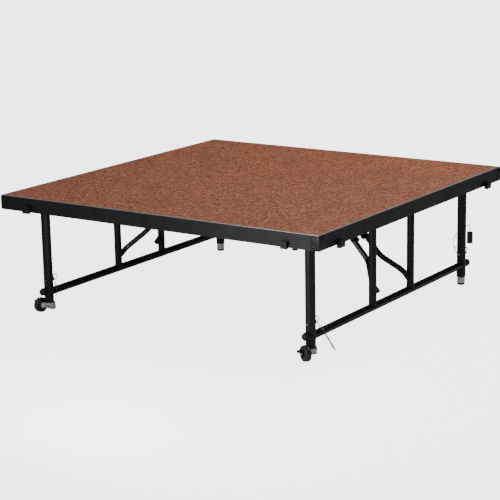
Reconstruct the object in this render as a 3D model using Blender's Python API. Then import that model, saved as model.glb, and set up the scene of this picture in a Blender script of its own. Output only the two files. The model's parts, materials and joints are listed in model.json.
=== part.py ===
"""A portable stage platform, 4 ft by 4 ft, on two folding leg frames, at its low height.

Each leg frame is a welded set of tubes that swings in under the deck on a hinge tube.
A folding brace holds it upright: two arms rise from the uprights, close in, and meet
two links that hang from a strap under the deck.  Inner legs sit inside the outer legs
and are held by lock pins.  The front legs end in swivel casters, the rear in glides.

Metres, +Z up, origin on the floor below the middle of the whole object.  X runs along
the front, Y from front to rear.
"""

import bmesh
import bpy
from math import atan2, cos, hypot, pi, radians, sin
from mathutils import Matrix, Vector

# Driving sizes -------------------------------------------------------------------
DECK_WIDTH = 1.2192
DECK_DEPTH = 1.2192
DECK_HEIGHT = 0.4128
SURFACE_THICKNESS = 0.0048
CORE_THICKNESS = 0.0127
TRIM_THICKNESS = 0.0012
TRIM_LIP = 0.008
TRIM_LEG = 0.0145
RAIL_HEIGHT = 0.0475
RAIL_THICKNESS = 0.0025
RAIL_SHELF = 0.022

FRAME_INSET = 0.0951
LEG_INSET = 0.1051
LEG_DIAMETER = 0.03175
LEG_WALL = 0.0015
INNER_WALL = 0.0015
HINGE_DROP = 0.042
HINGE_TUBE_DIAMETER = 0.0254
UPRIGHT_DIAMETER = 0.0254
UPRIGHT_SPACING = 0.254
CROSS_TUBE_DIAMETER = 0.0254
CROSS_TUBE_SPACE = 0.0075
TUBE_WALL = 0.0015
TUBE_END_REACH = {"front": 0.042, "rear": 0.054}
TUBE_END_RISE = {"front": 0.006, "rear": 0.0}
REAR_LEG_FOOT = 0.030
INNER_LEG_SPACE = 0.0204

BRACE_FOOT_RISE = 0.0503
BRACE_REACH = 0.2177
ARM_DIAMETER = 0.019
LINK_DIAMETER = 0.013
ARM_HEAD_OFFSET = 0.040
ARM_FIRST_BEND = 0.022
ARM_SECOND_BEND = 0.100
PIVOT_PIN_DIAMETER = 0.006
STOP_PLATE_THICKNESS = 0.004
STOP_PLATE_WIDTH = 0.024
STRAP_WIDTH = 0.040
STRAP_THICKNESS = 0.0045

PIN_DIAMETER = 0.008
PIN_RISE = 0.0415
PIN_NOSE = 0.008
PIN_HEAD_DIAMETER = 0.013
PIN_HEAD_LENGTH = 0.010
PIN_RING_RADIUS = 0.0115
PIN_RING_WIRE = 0.0032
WIRE_DIAMETER = 0.0026

GLIDE_HEIGHT = 0.008
WHEEL_DIAMETER = 0.0508
WHEEL_WIDTH = 0.019
AXLE_DIAMETER = 0.008
CASTER_TRAIL = 0.0155
CASTER_HEAD_HEIGHT = 0.0072
CASTER_HEAD_SPACE = 0.0111
CASTER_PLATE = 0.004
CASTER_TURN = {"left": 260.9, "right": -31.0}

BLOCK_WIDTH = 0.023
BLOCK_REACH = 0.012
BLOCK_HEIGHT = 0.024
HOOK_LENGTH = 0.030
HOOK_WALL = 0.0025
HOOK_REACH = 0.012
COUPLING_INSET = 0.1146

# Clearances ----------------------------------------------------------------------
GAP = 0.0003
PIN_CLEARANCE = 0.0004
SWIVEL_CLEARANCE = 0.0005
BRACKET_SPACE = 0.003
WELD_OVERLAP = 0.0005
ROUND = 20

# Places that follow from the sizes -----------------------------------------------
HALF_WIDTH = DECK_WIDTH / 2
HALF_DEPTH = DECK_DEPTH / 2
FRAME_X = HALF_WIDTH - FRAME_INSET
LEG_Y = HALF_DEPTH - LEG_INSET
UPRIGHT_Y = UPRIGHT_SPACING / 2
SURFACE_TOP = DECK_HEIGHT - TRIM_THICKNESS - GAP
CORE_TOP = SURFACE_TOP - SURFACE_THICKNESS - GAP
CORE_BOTTOM = CORE_TOP - CORE_THICKNESS
DECK_INSET = RAIL_THICKNESS + TRIM_THICKNESS + 2 * GAP
HINGE_Z = DECK_HEIGHT - HINGE_DROP
AXLE_HEIGHT = WHEEL_DIAMETER / 2
FRONT_LEG_FOOT = AXLE_HEIGHT + CASTER_HEAD_SPACE
CROSS_TUBE_HEIGHT = WHEEL_DIAMETER + CROSS_TUBE_SPACE + CROSS_TUBE_DIAMETER / 2
PIN_HEIGHT = CROSS_TUBE_HEIGHT + PIN_RISE
BRACE_FOOT_HEIGHT = CROSS_TUBE_HEIGHT + BRACE_FOOT_RISE
INNER_LEG_TOP = HINGE_Z - HINGE_TUBE_DIAMETER / 2 - INNER_LEG_SPACE
HEIGHT_STEP = INNER_LEG_TOP - PIN_HEIGHT - 0.022
INNER_DIAMETER = LEG_DIAMETER - 2 * LEG_WALL - 2 * GAP
GLIDE_DIAMETER = INNER_DIAMETER - 2 * GAP
BRACE_RISE = HINGE_Z - BRACE_FOOT_HEIGHT
STOP_PLATE_START = 0.011
BRACE_SPAN = hypot(BRACE_REACH, BRACE_RISE)
BRACE_FOLDED = abs(BRACE_REACH - BRACE_RISE)
LINK_LENGTH = (BRACE_SPAN - BRACE_FOLDED) / 2
ARM_LENGTH = (BRACE_SPAN + BRACE_FOLDED) / 2
BRACE_ANGLE = atan2(BRACE_RISE, BRACE_REACH)
SHIFT_X = -(HOOK_REACH + GAP) / 2
SHIFT_Y = (BLOCK_REACH + GAP) / 2
ARM_FOOT_OFFSET = UPRIGHT_Y - UPRIGHT_DIAMETER / 2 - ARM_DIAMETER / 2 - 0.0013
LINK_OFFSET = ARM_HEAD_OFFSET - ARM_DIAMETER / 2 - 0.0035 - LINK_DIAMETER / 2

BLACK_STEEL = ((0.012, 0.011, 0.012), 0.32, 0.6)
RAIL_BLACK = ((0.028, 0.027, 0.030), 0.45, 0.4)
ALUMINIUM = ((0.62, 0.58, 0.57), 0.35, 1.0)
HARDBOARD = ((0.235, 0.082, 0.048), 0.62, 0.0)
PLYWOOD = ((0.45, 0.30, 0.17), 0.8, 0.0)
ZINC = ((0.60, 0.62, 0.63), 0.30, 1.0)
BLACK_PLASTIC = ((0.015, 0.015, 0.016), 0.5, 0.0)
RUBBER = ((0.022, 0.021, 0.022), 0.75, 0.0)


def clear_scene():
    for obj in list(bpy.data.objects):
        bpy.data.objects.remove(obj, do_unlink=True)


def finish(name, kind):
    """A Principled material with this colour, roughness and metallic value."""
    material = bpy.data.materials.get(name)
    if material is None:
        colour, roughness, metallic = kind
        material = bpy.data.materials.new(name)
        material.use_nodes = True
        shader = material.node_tree.nodes["Principled BSDF"]
        shader.inputs["Base Color"].default_value = (*colour, 1.0)
        shader.inputs["Roughness"].default_value = roughness
        shader.inputs["Metallic"].default_value = metallic
    return material


def new_object(name, bm, kind, origin=(0, 0, 0)):
    """An object from a bmesh in world places, with its origin moved to a point."""
    bmesh.ops.remove_doubles(bm, verts=bm.verts, dist=1e-7)
    bmesh.ops.recalc_face_normals(bm, faces=bm.faces)
    origin = Vector(origin)
    bmesh.ops.translate(bm, verts=bm.verts, vec=-origin)
    mesh = bpy.data.meshes.new(name)
    bm.to_mesh(mesh)
    bm.free()
    mesh.shade_smooth()
    mesh.set_sharp_from_angle(angle=radians(35))
    obj = bpy.data.objects.new(name, mesh)
    obj.location = origin
    bpy.context.collection.objects.link(obj)
    mesh.materials.append(finish(name.split("_")[0] + "_" + kind[0], kind[1]))
    return obj


def cutter(name, bm, origin=(0, 0, 0)):
    obj = new_object(name, bm, ("cutter", BLACK_STEEL), origin)
    obj.hide_render = True
    obj.display_type = "WIRE"
    return obj


def boolean(obj, other, operation):
    modifier = obj.modifiers.new(operation.lower() + "_" + other.name, "BOOLEAN")
    modifier.operation = operation
    modifier.object = other
    modifier.solver = "EXACT"


def frame_between(start, end):
    """A matrix at start whose Z axis points to end."""
    along = Vector(end) - Vector(start)
    turn = along.to_track_quat("Z", "Y").to_matrix().to_4x4()
    return Matrix.Translation(Vector(start)) @ turn, along.length


def add_box(bm, low, high, matrix=None):
    low, high = Vector(low), Vector(high)
    made = bmesh.ops.create_cube(bm, size=1.0)["verts"]
    bmesh.ops.scale(bm, vec=high - low, verts=made)
    bmesh.ops.translate(bm, vec=(low + high) / 2, verts=made)
    if matrix is not None:
        bmesh.ops.transform(bm, matrix=matrix, verts=made)
    return made


def add_rod(bm, start, end, radius, sides=ROUND):
    matrix, length = frame_between(start, end)
    bmesh.ops.create_cone(
        bm,
        cap_ends=True,
        segments=sides,
        radius1=radius,
        radius2=radius,
        depth=length,
        matrix=matrix @ Matrix.Translation((0, 0, length / 2)),
    )


def spun(bm, outline, matrix, sides=ROUND):
    """Turns a closed outline of (radius, height) points round Z and places it."""
    verts = [bm.verts.new((r, 0, z)) for r, z in outline]
    edges = [bm.edges.new((a, b)) for a, b in zip(verts, verts[1:] + verts[:1])]
    made = bmesh.ops.spin(
        bm,
        geom=verts + edges,
        cent=(0, 0, 0),
        axis=(0, 0, 1),
        angle=2 * pi,
        steps=sides,
        use_merge=True,
    )
    bmesh.ops.remove_doubles(bm, verts=bm.verts, dist=1e-6)
    bmesh.ops.transform(bm, matrix=matrix, verts=bm.verts)
    return made


def ring_outline(inner, outer, low, high):
    return [(inner, low), (outer, low), (outer, high), (inner, high)]


def add_tube(bm, start, end, outer, inner, sides=ROUND):
    matrix, length = frame_between(start, end)
    spun(bm, ring_outline(inner, outer, 0, length), matrix, sides)


def box_object(name, low, high, kind, origin=(0, 0, 0), bevel=0.0):
    bm = bmesh.new()
    add_box(bm, low, high)
    if bevel:
        bmesh.ops.bevel(
            bm, geom=bm.edges, offset=bevel, affect="EDGES", segments=2, profile=0.5
        )
    return new_object(name, bm, kind, origin)


# Deck ----------------------------------------------------------------------------
def stepped_slab(name, rings, kind):
    """A rectangular slab whose sides step in: rings hold (half width, half depth, height)."""
    bm = bmesh.new()
    corners = ((-1, -1), (1, -1), (1, 1), (-1, 1))
    loops = [[bm.verts.new((x * sx, y * sy, z)) for sx, sy in corners] for x, y, z in rings]
    bm.faces.new(loops[0])
    bm.faces.new(loops[-1])
    for low, high in zip(loops, loops[1:]):
        for i in range(4):
            j = (i + 1) % 4
            bm.faces.new((low[i], low[j], high[j], high[i]))
    new_object(name, bm, kind)


def deck_panels():
    x = HALF_WIDTH - DECK_INSET
    y = HALF_DEPTH - DECK_INSET
    step = TRIM_LIP + GAP - DECK_INSET
    core = [(x, y, CORE_BOTTOM), (x, y, CORE_TOP)]
    stepped_slab("deck_core", core, ("plywood", PLYWOOD))
    # The surface is rebated all round, so that its face lies level with the trim's lip.
    surface = [
        (x, y, SURFACE_TOP - SURFACE_THICKNESS),
        (x, y, SURFACE_TOP),
        (x - step, y - step, SURFACE_TOP),
        (x - step, y - step, DECK_HEIGHT),
    ]
    stepped_slab("deck_surface", surface, ("hardboard", HARDBOARD))


def mitred_bar(name, outline, side, kind):
    """A bar along one side of the deck, cut at 45 degrees where it meets its neighbours.

    The outline holds (inset, height) points; the bar's end is as long as its inset allows.
    """
    bm = bmesh.new()
    rows = []
    for end in (-1, 1):
        row = []
        for inset, height in outline:
            half = {"front": HALF_WIDTH, "rear": HALF_WIDTH}.get(side, HALF_DEPTH)
            along = end * (half - inset - GAP / 2)
            across = {"front": HALF_DEPTH, "rear": HALF_DEPTH}.get(side, HALF_WIDTH)
            row.append((along, across - inset, height))
        rows.append(row)
    place = {
        "front": lambda a, c, z: (a, -c, z),
        "rear": lambda a, c, z: (a, c, z),
        "left": lambda a, c, z: (-c, a, z),
        "right": lambda a, c, z: (c, a, z),
    }[side]
    loops = [[bm.verts.new(place(*point)) for point in row] for row in rows]
    first = bm.faces.new(loops[0])
    last = bm.faces.new(loops[1])
    edges = list(first.edges) + list(last.edges)
    bmesh.ops.bridge_loops(bm, edges=edges)
    new_object(name, bm, kind)


def deck_edges():
    shelf_top = CORE_BOTTOM - GAP
    web = RAIL_THICKNESS
    rail = [
        (0, DECK_HEIGHT - TRIM_THICKNESS - GAP),
        (0, DECK_HEIGHT - RAIL_HEIGHT),
        (web, DECK_HEIGHT - RAIL_HEIGHT),
        (web, shelf_top - RAIL_THICKNESS),
        (web + RAIL_SHELF, shelf_top - RAIL_THICKNESS),
        (web + RAIL_SHELF, shelf_top),
        (web, shelf_top),
        (web, DECK_HEIGHT - TRIM_THICKNESS - GAP),
    ]
    leg_face = web + GAP
    under_lip = DECK_HEIGHT - TRIM_THICKNESS
    trim = [
        (0, DECK_HEIGHT),
        (0, under_lip),
        (leg_face, under_lip),
        (leg_face, DECK_HEIGHT - TRIM_LEG),
        (leg_face + TRIM_THICKNESS, DECK_HEIGHT - TRIM_LEG),
        (leg_face + TRIM_THICKNESS, under_lip),
        (TRIM_LIP, under_lip),
        (TRIM_LIP, DECK_HEIGHT),
    ]
    for side in ("front", "rear", "left", "right"):
        mitred_bar("rail_" + side, rail, side, ("steel", RAIL_BLACK))
        mitred_bar("edge_trim_" + side, trim, side, ("aluminium", ALUMINIUM))


def couplings():
    top = DECK_HEIGHT - 0.0265
    for side, sign in (("left", -1), ("right", 1)):
        x = sign * (HALF_WIDTH - COUPLING_INSET)
        box_object(
            "coupling_block_" + side,
            (x - BLOCK_WIDTH / 2, -HALF_DEPTH - GAP - BLOCK_REACH, top - BLOCK_HEIGHT),
            (x + BLOCK_WIDTH / 2, -HALF_DEPTH - GAP, top),
            ("plastic", BLACK_PLASTIC),
            bevel=0.0015,
        )
    for side, sign in (("front", -1), ("rear", 1)):
        coupling_hook("coupling_hook_" + side, sign * (HALF_DEPTH - COUPLING_INSET))


def coupling_hook(name, y):
    """A socket on the right rail, open below, for the tongue of a coupling clip."""
    inner = HALF_WIDTH + GAP
    outer = inner + HOOK_REACH
    mid = DECK_HEIGHT - 0.0455
    foot = mid - 0.011
    prong = HOOK_LENGTH / 4
    bm = bmesh.new()
    add_box(bm, (inner, y - HOOK_LENGTH / 2, mid), (outer, y + HOOK_LENGTH / 2, mid + 0.010))
    body = new_object(name, bm, ("steel", BLACK_STEEL))
    bm = bmesh.new()
    wall_low = (outer - HOOK_WALL, y - HOOK_LENGTH / 2 + GAP, foot + GAP)
    wall_high = (outer - GAP, y + HOOK_LENGTH / 2 - GAP, mid + WELD_OVERLAP * 2)
    add_box(bm, wall_low, wall_high)
    boolean(body, cutter(name + "_wall", bm), "UNION")
    for end, sign in (("a", -1), ("b", 1)):
        bm = bmesh.new()
        edge = y + sign * HOOK_LENGTH / 2
        low, high = sorted((edge, edge - sign * prong))
        add_box(bm, (inner, low, foot), (outer, high, mid + WELD_OVERLAP))
        boolean(body, cutter(name + "_prong_" + end, bm), "UNION")


# Leg frames ----------------------------------------------------------------------
def cut_round(obj, name, start, end, radius, sides=ROUND):
    bm = bmesh.new()
    add_rod(bm, start, end, radius, sides)
    boolean(obj, cutter(name, bm, start), "DIFFERENCE")


def leg_points(sign, row):
    return sign * FRAME_X, row * LEG_Y


def hinge_hardware(side, sign):
    x = sign * FRAME_X
    plate_near = LEG_Y + LEG_DIAMETER / 2 + BRACKET_SPACE
    plate_thickness = 0.004
    tube_end = plate_near + plate_thickness + 0.004
    radius = HINGE_TUBE_DIAMETER / 2
    bm = bmesh.new()
    add_tube(bm, (x, -tube_end, HINGE_Z), (x, tube_end, HINGE_Z), radius, radius - TUBE_WALL)
    new_object("hinge_tube_" + side, bm, ("steel", BLACK_STEEL), (x, 0, HINGE_Z))
    top = CORE_BOTTOM - GAP
    half = radius + 0.013
    for row_name, row in (("front", -1), ("rear", 1)):
        near, far = sorted((row * plate_near, row * (plate_near + plate_thickness)))
        bm = bmesh.new()
        add_box(bm, (x - half, near, HINGE_Z), (x + half, far, top))
        name = f"hinge_bracket_{side}_{row_name}"
        bracket = new_object(name, bm, ("steel", BLACK_STEEL))
        bm = bmesh.new()
        add_rod(bm, (x, near, HINGE_Z), (x, far, HINGE_Z), radius + 0.006)
        boolean(bracket, cutter(name + "_lobe", bm), "UNION")
        flange_far = row * (plate_near + 0.028)
        flange_low, flange_high = sorted((row * plate_near, flange_far))
        bm = bmesh.new()
        add_box(bm, (x - half, flange_low, top - 0.003), (x + half, flange_high, top))
        boolean(bracket, cutter(name + "_flange", bm), "UNION")
        cut_round(
            bracket,
            name + "_hole",
            (x, near - 0.01, HINGE_Z),
            (x, far + 0.01, HINGE_Z),
            radius + GAP,
        )


def outer_leg(side, sign, row_name, row):
    x, y = leg_points(sign, row)
    foot = FRONT_LEG_FOOT if row < 0 else REAR_LEG_FOOT
    radius = LEG_DIAMETER / 2
    bm = bmesh.new()
    add_tube(bm, (x, y, foot), (x, y, HINGE_Z), radius, radius - LEG_WALL)
    name = f"outer_leg_{side}_{row_name}"
    leg = new_object(name, bm, ("steel", BLACK_STEEL))
    cut_round(
        leg,
        name + "_saddle",
        (x, y - LEG_DIAMETER, HINGE_Z),
        (x, y + LEG_DIAMETER, HINGE_Z),
        HINGE_TUBE_DIAMETER / 2 + GAP,
    )
    pin_hole(leg, name, x, y, PIN_HEIGHT)


def pin_hole(leg, name, x, y, z):
    cut_round(
        leg,
        f"{name}_hole_{round(z * 1000)}",
        (x, y - LEG_DIAMETER, z),
        (x, y + LEG_DIAMETER, z),
        PIN_DIAMETER / 2 + PIN_CLEARANCE,
        12,
    )


def inner_leg(side, sign, row_name, row):
    x, y = leg_points(sign, row)
    foot = FRONT_LEG_FOOT if row < 0 else GLIDE_HEIGHT + GAP
    radius = INNER_DIAMETER / 2
    bm = bmesh.new()
    add_tube(bm, (x, y, foot), (x, y, INNER_LEG_TOP), radius, radius - INNER_WALL)
    name = f"inner_leg_{side}_{row_name}"
    leg = new_object(name, bm, ("zinc", ZINC))
    pin_hole(leg, name, x, y, PIN_HEIGHT)
    pin_hole(leg, name, x, y, PIN_HEIGHT + HEIGHT_STEP)


def uprights(side, sign):
    x = sign * FRAME_X
    radius = UPRIGHT_DIAMETER / 2
    for row_name, row in (("front", -1), ("rear", 1)):
        y = row * UPRIGHT_Y
        bm = bmesh.new()
        add_tube(bm, (x, y, CROSS_TUBE_HEIGHT), (x, y, HINGE_Z), radius, radius - TUBE_WALL)
        name = f"upright_{side}_{row_name}"
        post = new_object(name, bm, ("steel", BLACK_STEEL))
        for end, z, diameter in (
            ("top", HINGE_Z, HINGE_TUBE_DIAMETER),
            ("foot", CROSS_TUBE_HEIGHT, CROSS_TUBE_DIAMETER),
        ):
            start = (x, y - UPRIGHT_DIAMETER, z)
            stop = (x, y + UPRIGHT_DIAMETER, z)
            cut_round(post, name + "_" + end, start, stop, diameter / 2 + GAP)


def leg_clearance(obj, name, x, rows, z):
    """Shapes a tube's ends to the legs that it is welded to."""
    for row in rows:
        start = (x, row * LEG_Y, z - CROSS_TUBE_DIAMETER)
        end = (x, row * LEG_Y, z + CROSS_TUBE_DIAMETER)
        cut_round(obj, f"{name}_leg_{row}", start, end, LEG_DIAMETER / 2 + GAP)


def cross_tube(side, sign):
    x = sign * FRAME_X
    radius = CROSS_TUBE_DIAMETER / 2
    z = CROSS_TUBE_HEIGHT
    bm = bmesh.new()
    add_tube(bm, (x, -LEG_Y, z), (x, LEG_Y, z), radius, radius - TUBE_WALL)
    name = "cross_tube_" + side
    leg_clearance(new_object(name, bm, ("steel", BLACK_STEEL)), name, x, (-1, 1), z)


def tube_end(side, sign, row_name, row):
    """The short rubber bumper that carries the cross tube's line past a leg."""
    x = sign * FRAME_X
    z = CROSS_TUBE_HEIGHT + TUBE_END_RISE[row_name]
    reach = TUBE_END_REACH[row_name]
    radius = CROSS_TUBE_DIAMETER / 2
    straight = reach - radius
    steps = 3
    dome = [
        (radius * cos(i * pi / 2 / steps), straight + radius * sin(i * pi / 2 / steps))
        for i in range(steps + 1)
    ]
    outline = [(0, 0), (radius, 0), *dome[:-1], (0, reach)]
    matrix, _ = frame_between((x, row * LEG_Y, z), (x, row * HALF_DEPTH, z))
    bm = bmesh.new()
    spun(bm, outline, matrix)
    name = f"tube_end_{side}_{row_name}"
    obj = new_object(name, bm, ("plastic", BLACK_PLASTIC))
    leg_clearance(obj, name, x, (row,), z)


# Braces --------------------------------------------------------------------------
def brace_frame(sign):
    """The brace plane: origin at the foot pivot, X along the brace, Y across, Z outward-up."""
    along = Vector((-sign * cos(BRACE_ANGLE), 0, sin(BRACE_ANGLE)))
    across = Vector((0, 1, 0))
    out = Vector((sign * sin(BRACE_ANGLE), 0, cos(BRACE_ANGLE)))
    matrix = Matrix((along, across, out)).transposed().to_4x4()
    matrix.translation = Vector((sign * FRAME_X, 0, BRACE_FOOT_HEIGHT))
    return matrix


def bent_rod(name, points, radius, matrix, kind, origin):
    """A round bar along straight runs, its bends mitred."""
    curve = bpy.data.curves.new(name, "CURVE")
    curve.dimensions = "3D"
    curve.bevel_depth = radius
    curve.bevel_resolution = 4
    curve.use_fill_caps = True
    spline = curve.splines.new("POLY")
    spline.points.add(len(points) - 1)
    for slot, point in zip(spline.points, points):
        slot.co = (*(matrix @ Vector(point) - Vector(origin)), 1)
    obj = bpy.data.objects.new(name, curve)
    bpy.context.collection.objects.link(obj)
    graph = bpy.context.evaluated_depsgraph_get()
    mesh = bpy.data.meshes.new_from_object(obj.evaluated_get(graph))
    bpy.data.objects.remove(obj, do_unlink=True)
    bm = bmesh.new()
    bm.from_mesh(mesh)
    bmesh.ops.translate(bm, verts=bm.verts, vec=Vector(origin))
    return new_object(name, bm, kind, origin)


def rounded_corner(before, corner, after, radius, steps=4):
    """Points of a smooth bend at a corner between two straight runs."""
    corner = Vector(corner)
    start = corner + (Vector(before) - corner).normalized() * radius
    end = corner + (Vector(after) - corner).normalized() * radius
    places = []
    for i in range(steps + 1):
        t = i / steps
        places.append(start * (1 - t) ** 2 + corner * 2 * t * (1 - t) + end * t * t)
    return places


def brace_arms(side, sign):
    """Two arms from the uprights that close in and run side by side to the elbow."""
    matrix = brace_frame(sign)
    elbow = matrix @ Vector((ARM_LENGTH, 0, 0))
    radius = ARM_DIAMETER / 2
    tail = 0.010
    head = ARM_LENGTH + STOP_PLATE_START + STOP_PLATE_WIDTH + 0.004
    name = "brace_arms_" + side
    arms = []
    for row_name, row in (("front", -1), ("rear", 1)):
        foot = (-tail, row * ARM_FOOT_OFFSET, 0)
        low = (ARM_FIRST_BEND, row * ARM_FOOT_OFFSET, 0)
        high = (ARM_SECOND_BEND, row * ARM_HEAD_OFFSET, 0)
        end = (head, row * ARM_HEAD_OFFSET, 0)
        points = [foot]
        points += rounded_corner(foot, low, high, 0.016)
        points += rounded_corner(low, high, end, 0.016)
        points.append(end)
        part_name = name if row < 0 else name + "_second"
        arm = bent_rod(part_name, points, radius, matrix, ("steel", BLACK_STEEL), elbow)
        arms.append(arm)
    arms[1].hide_render = True
    arms[1].display_type = "WIRE"
    body = arms[0]
    # The stop plate that the links rest on when the brace is open joins the two arms.
    bm = bmesh.new()
    plate_low = LINK_DIAMETER / 2 + WELD_OVERLAP
    add_box(
        bm,
        (ARM_LENGTH + STOP_PLATE_START, -ARM_HEAD_OFFSET - 0.006, plate_low),
        (
            ARM_LENGTH + STOP_PLATE_START + STOP_PLATE_WIDTH,
            ARM_HEAD_OFFSET + 0.006,
            plate_low + STOP_PLATE_THICKNESS,
        ),
        matrix,
    )
    plate = cutter(name + "_stop_plate", bm, elbow)
    boolean(plate, arms[1], "UNION")
    boolean(body, plate, "UNION")
    for row in (-1, 1):
        # elbow pin, from the arm inward through the link
        bm = bmesh.new()
        inner = LINK_OFFSET - LINK_DIAMETER / 2 - 0.002
        start = matrix @ Vector((ARM_LENGTH, row * inner, 0))
        end = matrix @ Vector((ARM_LENGTH, row * (ARM_HEAD_OFFSET + radius + 0.003), 0))
        add_rod(bm, start, end, PIVOT_PIN_DIAMETER / 2, 16)
        boolean(body, cutter(f"{name}_elbow_pin_{row}", bm, elbow), "UNION")
        # foot bolt, whose end stops just short of the upright
        bm = bmesh.new()
        start = matrix @ Vector((0, row * (ARM_FOOT_OFFSET - radius - 0.0035), 0))
        end = matrix @ Vector((0, row * (UPRIGHT_Y - UPRIGHT_DIAMETER / 2 - GAP), 0))
        add_rod(bm, start, end, PIVOT_PIN_DIAMETER / 2 + 0.001, 16)
        boolean(body, cutter(f"{name}_foot_bolt_{row}", bm, elbow), "UNION")


def brace_links(side, sign):
    """Two short links from the deck strap to the elbow, with a plate between them."""
    matrix = brace_frame(sign)
    anchor = matrix @ Vector((BRACE_SPAN, 0, 0))
    radius = LINK_DIAMETER / 2
    name = "brace_links_" + side
    over = 0.009
    rods = []
    for row in (-1, 1):
        rod = bmesh.new()
        start = matrix @ Vector((ARM_LENGTH - over, row * LINK_OFFSET, 0))
        end = matrix @ Vector((BRACE_SPAN + over, row * LINK_OFFSET, 0))
        add_rod(rod, start, end, radius, 20)
        rods.append(rod)
    body = new_object(name, rods[0], ("steel", BLACK_STEEL), anchor)
    second = cutter(name + "_second", rods[1], anchor)
    bm = bmesh.new()
    add_box(
        bm,
        (ARM_LENGTH + 0.050, -LINK_OFFSET, -0.003),
        (ARM_LENGTH + 0.090, LINK_OFFSET, 0.003),
        matrix,
    )
    plate = cutter(name + "_spreader", bm, anchor)
    boolean(plate, second, "UNION")
    boolean(body, plate, "UNION")
    for end_name, place in (("elbow", ARM_LENGTH), ("anchor", BRACE_SPAN)):
        start = matrix @ Vector((place, -ARM_HEAD_OFFSET, 0))
        end = matrix @ Vector((place, ARM_HEAD_OFFSET, 0))
        hole = PIVOT_PIN_DIAMETER / 2 + PIN_CLEARANCE
        cut_round(body, f"{name}_{end_name}_hole", start, end, hole, 16)


def brace_strap(side, sign):
    """The flat strap under the deck, with two lugs and their pins for the links."""
    x = sign * (FRAME_X - BRACE_REACH)
    top = CORE_BOTTOM - GAP
    bottom = top - STRAP_THICKNESS
    end = HALF_DEPTH - RAIL_THICKNESS - RAIL_SHELF - 2 * GAP
    bm = bmesh.new()
    add_box(bm, (x - STRAP_WIDTH / 2, -end, bottom), (x + STRAP_WIDTH / 2, end, top))
    name = "brace_strap_" + side
    strap = new_object(name, bm, ("steel", BLACK_STEEL))
    near = LINK_OFFSET + LINK_DIAMETER / 2 + 0.001
    far = near + 0.004
    for row in (-1, 1):
        bm = bmesh.new()
        low, high = sorted((row * near, row * far))
        add_box(bm, (x - 0.009, low, HINGE_Z), (x + 0.009, high, bottom + WELD_OVERLAP))
        lug_object = cutter(f"{name}_lug_{row}", bm)
        bm = bmesh.new()
        add_rod(bm, (x, low, HINGE_Z), (x, high, HINGE_Z), 0.009, ROUND)
        boolean(lug_object, cutter(f"{name}_eye_{row}", bm), "UNION")
        bm = bmesh.new()
        start = (x, row * (LINK_OFFSET - LINK_DIAMETER / 2 - 0.002), HINGE_Z)
        end = (x, row * (near + 0.002), HINGE_Z)
        add_rod(bm, start, end, PIVOT_PIN_DIAMETER / 2, 16)
        boolean(lug_object, cutter(f"{name}_pin_{row}", bm), "UNION")
        boolean(strap, lug_object, "UNION")


# Feet ----------------------------------------------------------------------------
def glide(side, sign):
    x, y = leg_points(sign, 1)
    cap = GLIDE_DIAMETER / 2
    plug = INNER_DIAMETER / 2 - INNER_WALL - GAP
    chamfer = 0.0012
    outline = [
        (0, 0),
        (cap - chamfer, 0),
        (cap, chamfer),
        (cap, GLIDE_HEIGHT),
        (plug, GLIDE_HEIGHT),
        (plug, GLIDE_HEIGHT + 0.020),
        (0, GLIDE_HEIGHT + 0.020),
    ]
    bm = bmesh.new()
    spun(bm, outline, Matrix.Translation((x, y, 0)))
    new_object("glide_" + side, bm, ("rubber", RUBBER))


def caster_frame(side, sign):
    """X points the way the wheel trails, Y along the axle towards the plate, Z up."""
    turn = radians(CASTER_TURN[side])
    trail = Vector((cos(turn), sin(turn), 0))
    axle = Vector((-sin(turn), cos(turn), 0))
    matrix = Matrix((trail, axle, Vector((0, 0, 1)))).transposed().to_4x4()
    x, y = leg_points(sign, -1)
    matrix.translation = Vector((x, y, 0))
    return matrix


WHEEL_NEAR = LEG_DIAMETER / 2 + 0.0007
WHEEL_FAR = WHEEL_NEAR + WHEEL_WIDTH
BRAKE_NEAR = WHEEL_FAR + SWIVEL_CLEARANCE
BRAKE_FAR = BRAKE_NEAR + 0.005


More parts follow.
